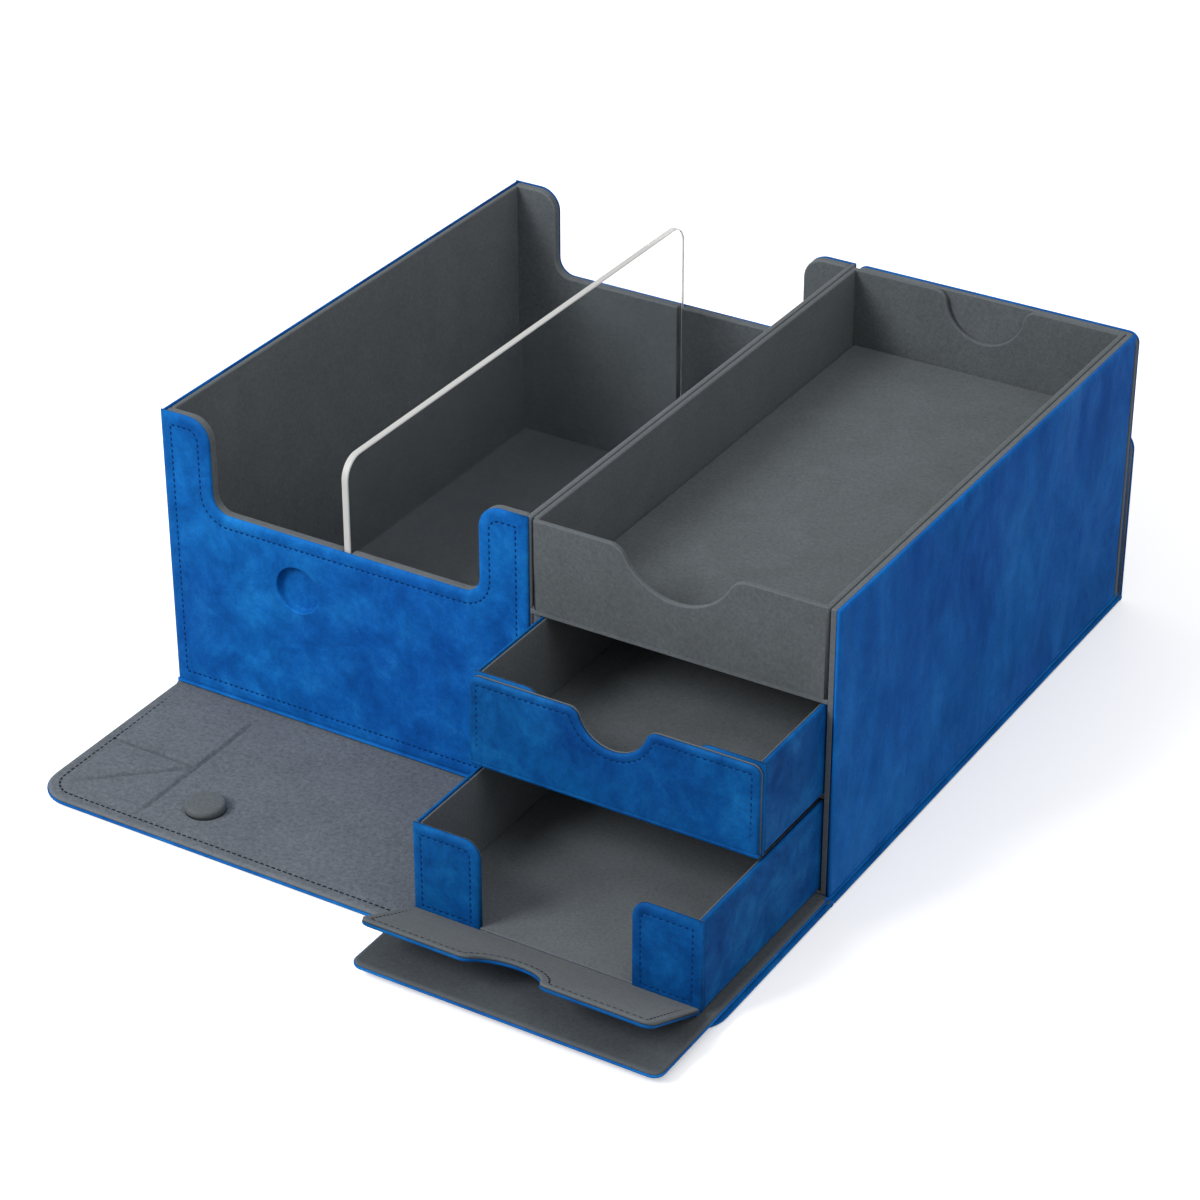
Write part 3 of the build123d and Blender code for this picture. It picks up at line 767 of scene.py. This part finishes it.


# The drawers' leatherette is a darker copy of the case's blue: painted shade for fronts that stand lower and
# further from the light.
shaded_drawer_blue = leatherette(
    "drawer_leatherette_painted_shade",
    dark=(0.0018, 0.056, 0.222),
    middle=(0.0032, 0.088, 0.304),
    light=(0.0072, 0.145, 0.415),
    paler=(0.0110, 0.176, 0.480),
)
drawer_finish = [shaded_drawer_blue, lining_grey]
for body in ("upper_drawer", "lower_drawer"):
    floor_node = f"{body}_floor"
    floor_depth = depth_of(floor_node, 2)
    skin = depth_of(f"{body}_back_wall", 1) - DRAWER_LINING
    for side, outward in (("left_wall", LEFT), ("right_wall", RIGHT), ("back_wall", BACK)):
        node = f"{body}_{side}"
        wall = bmesh.new()
        outside = cad_sheet(node, outward)
        reach(outside, DOWN, floor_depth)
        wrap(outside, outward, skin, DRAWER_ROLL)
        merge(wall, outside, 0)
        inside = cad_sheet(node, outward)
        lining_sheet(inside, outward, skin, DRAWER_LINING, LINING_STEP)
        merge(wall, inside, 1)
        piece(f"{node}_covered", wall, body, drawer_finish, [node])
    drawer_floor = bmesh.new()
    floor_skin = floor_depth - DRAWER_LINING
    for index, start, depth in ((0, 0, floor_skin), (1, floor_skin, DRAWER_LINING)):
        layer = cad_sheet(floor_node, DOWN)
        bmesh.ops.translate(layer, verts=layer.verts, vec=UP * start)
        shrink(layer, skin)
        reach(layer, FRONT, skin - FLOOR_FRONT_STEP)
        close_back(layer, DOWN, depth)
        soften(layer, LINING_EDGE)
        for face in layer.faces:
            face.material_index = 1 if face.normal.dot(FRONT) > FLOOR_FRONT_FACING else index
        merge(drawer_floor, layer, None)
    piece(f"{floor_node}_covered", drawer_floor, body, drawer_finish, [floor_node])
    for side in ("left_post", "right_post"):
        node = f"{body}_{side}"
        post = bmesh.new()
        outside = cad_sheet(node, FRONT, behind=True)
        reach(outside, DOWN, floor_depth)
        wrap(outside, FRONT, skin, POST_ROLL)
        post_line = hem(outside, FRONT, POST_HEM - POST_ROLL[0])
        merge(post, outside, 0)
        inside = cad_sheet(node, FRONT, behind=True)
        lining_sheet(inside, FRONT, skin, DRAWER_LINING, LINING_STEP)
        merge(post, inside, 1)
        piece(f"{node}_covered", post, body, drawer_finish, [node])
        sew(f"{node}_stitching", body, navy, post_line, FRONT)
    magnets(f"{body}_magnet_discs", f"{body}_magnets", body, BACK * POST_MAGNET_SINK)

# Drop-down drawer fronts: leatherette outside, microfibre inside, sewn together round three sides. The
# fourth side is a folded edge of leatherette that hinges on the drawer's floor. A thumb notch opens the top.
FLAP_ROLL = (1.3 * MM, 0.9 * MM)
FLAP_LINING_ROLL = (0.55 * MM, 0.35 * MM)
FLAP_LINING_STEP = 0.05 * MM
FLAP_LINING = 1.1 * MM
FLAP_HEM = 2.7 * MM
FLAP_SEWN_FROM = 1.2 * FLAP_HEM
BEAD_SIDES = 20
BEAD_RIM_ANGLE = math.radians(60)
BEAD_ROUND_SHARE = 0.5
BEAD_LINED_FROM = -0.35
BEAD_END_FROM = 0.2
slate = thread("slate_thread", (0.017, 0.022, 0.027))
joints = {joint["name"]: joint for joint in frame["joints"]}


def axis_point(joint):
    return Vector(joints[joint]["pos_m"])


def edge_radius(sheet, hinge, outward):
    """How far a flap's outer face lies from its hinge axis, which is the radius of its folded edge."""
    return (next(iter(sheet.verts)).co - hinge).dot(outward)


def bead(target, low_x, high_x, centre, radius, inward):
    """Folded edge along a hinge axis: a round bead of leatherette, lined on its inner side."""
    turn = Matrix.Rotation(math.radians(90), 4, "Y")
    place = Matrix.Translation(((low_x + high_x) / 2, centre.y, centre.z)) @ turn
    edge = bmesh.new()
    edge.verts.layers.float.new("wear_and_highlight")
    bmesh.ops.create_cone(
        edge, cap_ends=True, segments=BEAD_SIDES, radius1=radius, radius2=radius, depth=high_x - low_x,
        matrix=place,
    )
    rims = [e for e in edge.edges if e.calc_face_angle(0) > BEAD_RIM_ANGLE]
    bmesh.ops.bevel(
        edge, geom=rims, offset=radius * BEAD_ROUND_SHARE, affect="EDGES", segments=SOFT_STEPS, profile=0.5,
        material=-1,
    )
    edge.normal_update()
    for face in edge.faces:
        lined = face.normal.dot(inward) > BEAD_LINED_FROM and abs(face.normal.x) < BEAD_END_FROM
        face.material_index = 1 if lined else 0
    merge(target, edge, None)


for body in ("upper_flap", "lower_flap"):
    board_node, lining_node = f"{body}_board", f"{body}_lining"
    hinge = axis_point(f"{body}_hinge")
    lining_faces = frame["nodes"][lining_node].data.polygons
    inward = max(lining_faces, key=lambda p: (p.area, p.normal.z + p.normal.y)).normal.copy()
    if inward.y + inward.z < 0:
        inward.negate()
    outward = -inward
    along = inward.cross(LEFT)

    def off_hinge(point, hinge=hinge, along=along):
        return (point - hinge).dot(along) > FLAP_SEWN_FROM

    flap = bmesh.new()
    outer = cad_sheet(board_node, outward)
    radius = edge_radius(outer, hinge, outward)
    wrap(outer, outward, radius * 2 - FLAP_LINING, FLAP_ROLL)
    outer_line = hem(outer, outward, FLAP_HEM - FLAP_ROLL[0], off_hinge)
    merge(flap, outer, 0)
    inner = cad_sheet(board_node, outward)
    turn_over(inner, outward, radius * 2)
    shrink(inner, FLAP_LINING_STEP)
    wrap(inner, inward, FLAP_LINING, FLAP_LINING_ROLL)
    inner_line = hem(inner, inward, FLAP_HEM - FLAP_LINING_STEP - FLAP_LINING_ROLL[0], off_hinge)
    merge(flap, inner, 1)
    flap_low, flap_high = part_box(board_node)
    bead(flap, flap_low.x, flap_high.x, hinge, radius, inward)
    # The flap's leatherette is the drawers' darker copy of the blue: painted shade.
    flap_finish = [shaded_drawer_blue, dark_grey]
    piece(f"{body}_covered", flap, body, flap_finish, [board_node, lining_node])
    sew(f"{body}_stitching", body, navy, outer_line, outward, off_hinge)
    sew(f"{body}_lining_stitching", body, slate, inner_line, inward, off_hinge)
    magnets(f"{body}_magnet_discs", f"{body}_magnets", body, Vector())

# Module cover: a leatherette board lined with microfibre, folded down in front of the drawers. A folded edge
# of the leatherette joins it to the base.
COVER_ROLL = (1.3 * MM, 1.0 * MM)
COVER_LINING_ROLL = (1.5 * MM, 0.8 * MM)
COVER_LINING_STEP = 0.4 * MM
COVER_SKIN_SHARE = 0.58
LID_HEM = 4.3 * MM


def trim_right(sheet, amount):
    """Move a sheet's right side in, with its corners kept as they are."""
    middle = (min(v.co.x for v in sheet.verts) + max(v.co.x for v in sheet.verts)) / 2
    bmesh.ops.translate(sheet, verts=[v for v in sheet.verts if v.co.x > middle], vec=LEFT * amount)


def lined_flap(node, joint, outward, trim=0.0, turn_in=0.0, sewn=None):
    """A lined board with a folded hinge edge: its leatherette part, the line of its hem where that part is
    sewn, and the lining still to be added."""
    hinge = axis_point(joint)
    flap = bmesh.new()
    outer = cad_sheet(node, outward)
    trim_right(outer, trim)
    radius = edge_radius(outer, hinge, outward)
    skin = radius * 2 * COVER_SKIN_SHARE
    wrap(outer, outward, skin, COVER_ROLL)
    line = hem(outer, outward, LID_HEM - COVER_ROLL[0], sewn) if sewn else None
    merge(flap, outer, 0)
    inner = cad_sheet(node, outward)
    trim_right(inner, trim + turn_in)
    turn_over(inner, outward, radius * 2)
    shrink(inner, COVER_LINING_STEP)
    wrap(inner, -outward, radius * 2 - skin, COVER_LINING_ROLL)
    low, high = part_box(node)
    bead(flap, low.x, high.x - trim, hinge, radius, -outward)
    return flap, line, inner


cover_grey = microfibre(
    "cover_microfibre",
    dark=(0.045, 0.053, 0.059),
    light=(0.070, 0.081, 0.089),
    paler=(0.100, 0.111, 0.119),
)
cover, _, cover_lining = lined_flap("cover_board", "cover_hinge", DOWN)
merge(cover, cover_lining, 1)
piece(
    "cover_covered", cover, "front_cover", [blue, cover_grey],
    ["cover_board", "cover_lining"],
)

# Lid panel: the lid's middle, a leatherette board lined with microfibre, which lies under the case. Only its
# edges show.
LID_RIGHT_TRIM = 0.6 * MM
LID_TURN_IN = 1.6 * MM
grey = microfibre(
    "grey_microfibre",
    dark=(0.080, 0.092, 0.106),
    light=(0.142, 0.161, 0.184),
    paler=(0.150, 0.162, 0.176),
    contrast=1.25,
    fibres_per_metre=700,
)
lid = bmesh.new()
lid_board = cad_sheet("lid_panel", DOWN)
trim_right(lid_board, LID_RIGHT_TRIM)
wrap(lid_board, DOWN, depth_of("lid_panel", 2), COVER_ROLL)
merge(lid, lid_board, 0)
lid_lining = cad_sheet("lid_panel_lining", UP)
trim_right(lid_lining, LID_RIGHT_TRIM)
for side in (LEFT, RIGHT):
    reach(lid_lining, side, -LID_TURN_IN)
close_back(lid_lining, UP, depth_of("lid_panel_lining", 2))
soften(lid_lining, LINING_EDGE)
merge(lid, lid_lining, 1)
piece("lid_panel_covered", lid, "lid", [blue, grey], ["lid_panel", "lid_panel_lining"])

# Front flap of the lid: lies flat on the table, lining upwards, with a sewn hem along its free edges. Folds
# are creased into the lining where the corner of the lid can be turned up.
LID_STITCH = Vector((1.45, 0.78, 0.48)) * MM
LID_SEWN_FROM = 1.5 * LID_HEM
CREASE_DEPTH = 0.8 * MM
CREASE_HALF_WIDTH = 1.7 * MM
CREASE_ROW_SHARES = (-1.0, -0.66, -0.33, 0.0, 0.33, 0.66, 1.0)
CREASE_STATION = 5.0 * MM
CREASE_FADE = 9.0 * MM
CREASE_MEET = 1.5 * MM
CREASE_X = 38.5 * MM
CREASE_Y = 40.3 * MM
CREASE_START = 5.0 * MM
CREASE_END = 75.0 * MM
CREASE_DIAGONAL_END = Vector((4.5, -71.0)) * MM
LINING_TOP_FACING = 0.9
LINING_TOP_LAYER = 0.4 * MM
lid_hinge = axis_point("lid_front_hinge")
case_corner = Vector((front_low.x, front_low.y, 0))


def off_lid_hinge(point):
    return lid_hinge.y - point.y > LID_SEWN_FROM


def cut(sheet, keep_face, place, normal):
    """Cut the faces of a sheet's top that are asked for along a plane."""
    top = [f for f in sheet.faces if f.normal.z > LINING_TOP_FACING and keep_face(f.calc_center_median())]
    bmesh.ops.bisect_plane(sheet, geom=with_rims(top), plane_co=place, plane_no=normal)
    sheet.normal_update()


lid_flap, lid_outer_line, lid_flap_lining = lined_flap(
    "lid_front_flap_board", "lid_front_hinge", DOWN, LID_RIGHT_TRIM, LID_TURN_IN, off_lid_hinge
)
lid_line = hem(lid_flap_lining, UP, LID_HEM - COVER_LINING_STEP - COVER_LINING_ROLL[0], off_lid_hinge)
lid_top = max(v.co.z for v in lid_flap_lining.verts)
crease_cross = case_corner + Vector((CREASE_X, -CREASE_Y, lid_top))
crease_near_case = crease_cross + BACK * (CREASE_Y - CREASE_START)
crease_runs = (
    (crease_near_case, crease_cross + FRONT * (CREASE_END - CREASE_Y), CREASE_FADE),
    (crease_cross, crease_cross + LEFT * CREASE_X, CREASE_MEET),
    (crease_cross, case_corner + Vector((*CREASE_DIAGONAL_END, lid_top)), CREASE_MEET),
)
for start, end, _ in crease_runs:
    run = (end - start).normalized()
    across = run.cross(UP)
    length = (end - start).length
    for row_share in CREASE_ROW_SHARES:
        cut(lid_flap_lining, everywhere, start + across * CREASE_HALF_WIDTH * row_share, across)

    def in_crease(point, start=start, run=run, across=across, length=length):
        beside = abs((point - start).dot(across)) < CREASE_HALF_WIDTH
        return beside and 0 < (point - start).dot(run) < length

    stations = round(length / CREASE_STATION)
    for station in range(stations + 1):
        cut(lid_flap_lining, in_crease, start + run * length * station / stations, run)


def crease_depth(point):
    """How far the lining is pressed down at a point, by the deepest crease there."""
    deepest = 0.0
    for start, end, start_fade in crease_runs:
        run = (end - start).normalized()
        length = (end - start).length
        beside = abs((point - start).dot(run.cross(UP))) / CREASE_HALF_WIDTH
        along = (point - start).dot(run)
        if beside < 1 and 0 < along < length:
            fade = min(1.0, along / start_fade, (length - along) / CREASE_FADE)
            hollow = math.cos(beside * math.pi / 2) ** 2
            deepest = max(deepest, CREASE_DEPTH * fade * hollow)
    return deepest


# The lining is painted darker along the creases, by their depth: painted shade in the folds.
painted_crease_shade = lid_flap_lining.verts.layers.float.new("painted_crease_shade")
for vert in lid_flap_lining.verts:
    if vert.co.z > lid_top - LINING_TOP_LAYER:
        sunk = crease_depth(vert.co)
        vert.co.z -= sunk
        vert[painted_crease_shade] = sunk / CREASE_DEPTH
lid_flap.verts.layers.float.new("painted_crease_shade")
merge(lid_flap, lid_flap_lining, 1)
piece(
    "lid_front_flap_covered", lid_flap, "lid_front_flap", [blue, grey],
    ["lid_front_flap_board", "lid_front_flap_lining"],
)
sew(
    "lid_front_flap_outer_stitching", "lid_front_flap", navy, lid_outer_line, DOWN,
    off_lid_hinge,
)
sew(
    "lid_front_flap_stitching", "lid_front_flap", slate, lid_line, UP, off_lid_hinge,
    LID_STITCH,
)

# Snap button: a disc magnet covered in microfibre and glued to the lid's front flap. It drops into the recess
# in the front wall when the lid is on.
BUTTON_SIDES = 48
BUTTON_PROFILE_SHARES = ((1.0, 0.0), (1.0, 0.55), (0.985, 0.78), (0.93, 0.93), (0.82, 0.985), (0.45, 1.0))
button_low, button_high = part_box("snap_button")
button_centre = (button_low + button_high) / 2
button_radius = (button_high.x - button_low.x) / 2
button = bmesh.new()
rim = None
for radius_share, height_share in BUTTON_PROFILE_SHARES:
    height = button_low.z + (button_high.z - button_low.z) * height_share
    place = Matrix.Translation((button_centre.x, button_centre.y, height))
    made = bmesh.ops.create_circle(
        button, segments=BUTTON_SIDES, radius=button_radius * radius_share, matrix=place, cap_ends=rim is None
    )
    ring = list(dict.fromkeys(e for v in made["verts"] for e in v.link_edges))
    if rim:
        bmesh.ops.bridge_loops(button, edges=rim + ring)
    rim = ring
bmesh.ops.contextual_create(button, geom=rim)
bmesh.ops.recalc_face_normals(button, faces=button.faces)
piece("snap_button_covered", button, "lid_front_flap", [dark_grey], ["snap_button"])

# Rear flap of the lid: made like the front one and sewn round its three free sides. It stands up behind the
# case, lining towards it, and folds about the lid's back edge.
rear_hinge = axis_point("lid_rear_hinge")


def off_rear_hinge(point):
    return point.z - rear_hinge.z > LID_SEWN_FROM


rear_flap, rear_line, rear_lining = lined_flap(
    "lid_rear_flap_board", "lid_rear_hinge", BACK, trim=LID_RIGHT_TRIM, sewn=off_rear_hinge
)
merge(rear_flap, rear_lining, 1)
piece(
    "lid_rear_flap_covered", rear_flap, "lid_rear_flap", [blue, grey],
    ["lid_rear_flap_board", "lid_rear_flap_lining"],
)
sew("lid_rear_flap_stitching", "lid_rear_flap", navy, rear_line, BACK, off_rear_hinge)

# Studio: a plain pale floor that shows white, a soft lamp high in front on the left, a weaker one high on the
# right, and an even pale surrounding. The camera stands where the photograph was taken from.
FLOOR_HALF = 6.0
FLOOR_DROP = 0.2 * MM
FLOOR_SHADE = (0.40, 0.40, 0.40)
FLOOR_GLOW = 0.28
LAMP_TARGET = Vector((0, 0, 0.05))
KEY_PLACE = Vector((-0.85, -1.5, 1.35))
FILL_PLACE = Vector((1.2, -0.5, 1.8))
SURROUND_LIGHT = 0.66
CAMERA_PLACE = (0.53827, -0.93157, 0.64868)
CAMERA_AZIMUTH = math.radians(31.13)
CAMERA_ELEVATION = math.radians(30.36)
CAMERA_LENS = 104.76
CAMERA_SENSOR = 36.0
CAMERA_NEAR = 0.01
CAMERA_FAR = 50


def seen_ray(tree):
    """1 for a ray that is seen straight, in a reflection or through the clear sheet, and 0 for light."""
    path = tree.nodes.new("ShaderNodeLightPath")
    seen = path.outputs["Is Camera Ray"]
    for kind in ("Is Glossy Ray", "Is Transmission Ray"):
        either = tree.nodes.new("ShaderNodeMath")
        either.operation = "MAXIMUM"
        tree.links.new(seen, either.inputs[0])
        tree.links.new(path.outputs[kind], either.inputs[1])
        seen = either.outputs["Value"]
    return seen


floor = bmesh.new()
bmesh.ops.create_grid(
    floor, x_segments=1, y_segments=1, size=FLOOR_HALF, matrix=Matrix.Translation(DOWN * FLOOR_DROP)
)
floor_data = bpy.data.meshes.new("floor")
floor.to_mesh(floor_data)
floor.free()
floor_paint, floor_tree, floor_shader, _ = new_material("pale_floor")
floor_seen = seen_ray(floor_tree)
floor_colour = ramp(floor_tree, floor_seen, (0.0, FLOOR_SHADE), (1.0, WHITE))
floor_glow = spread(floor_tree, floor_seen, low=0.0, high=FLOOR_GLOW, from_low=0.0, from_high=1.0)
floor_tree.links.new(floor_colour, floor_shader.inputs["Base Color"])
floor_tree.links.new(floor_glow, floor_shader.inputs["Emission Strength"])
floor_shader.inputs["Emission Color"].default_value = (*WHITE, 1)
floor_shader.inputs["Roughness"].default_value = 0.9
floor_shader.inputs["Specular IOR Level"].default_value = 0.0
floor_data.materials.append(floor_paint)
floor_object = bpy.data.objects.new("floor", floor_data)
bpy.context.scene.collection.objects.link(floor_object)


def soft_lamp(name, place, size, power):
    """A square soft lamp that looks at the part."""
    data = bpy.data.lights.new(name, "AREA")
    data.shape = "SQUARE"
    data.size = size
    data.energy = power
    lamp = bpy.data.objects.new(name, data)
    lamp.location = place
    lamp.rotation_mode = "QUATERNION"
    lamp.rotation_quaternion = (LAMP_TARGET - place).to_track_quat("-Z", "Y")
    bpy.context.scene.collection.objects.link(lamp)


soft_lamp("key_lamp", KEY_PLACE, size=0.8, power=34)
soft_lamp("fill_lamp", FILL_PLACE, size=1.2, power=9)
world = bpy.data.worlds.new("even_surrounding")
world.use_nodes = True
sky = world.node_tree
surround = sky.nodes["Background"]
surround.inputs["Color"].default_value = (*WHITE, 1)
surround_strength = spread(sky, seen_ray(sky), low=SURROUND_LIGHT, high=1.0, from_low=0.0, from_high=1.0)
sky.links.new(surround_strength, surround.inputs["Strength"])
bpy.context.scene.world = world

camera_data = bpy.data.cameras.new("camera")
camera_data.lens = CAMERA_LENS
camera_data.sensor_width = CAMERA_SENSOR
camera_data.clip_start = CAMERA_NEAR
camera_data.clip_end = CAMERA_FAR
camera = bpy.data.objects.new("camera", camera_data)
camera.location = CAMERA_PLACE
camera.rotation_euler = (math.pi / 2 - CAMERA_ELEVATION, 0, CAMERA_AZIMUTH)
bpy.context.scene.collection.objects.link(camera)
bpy.context.scene.camera = camera
bpy.context.scene.view_settings.view_transform = "Standard"
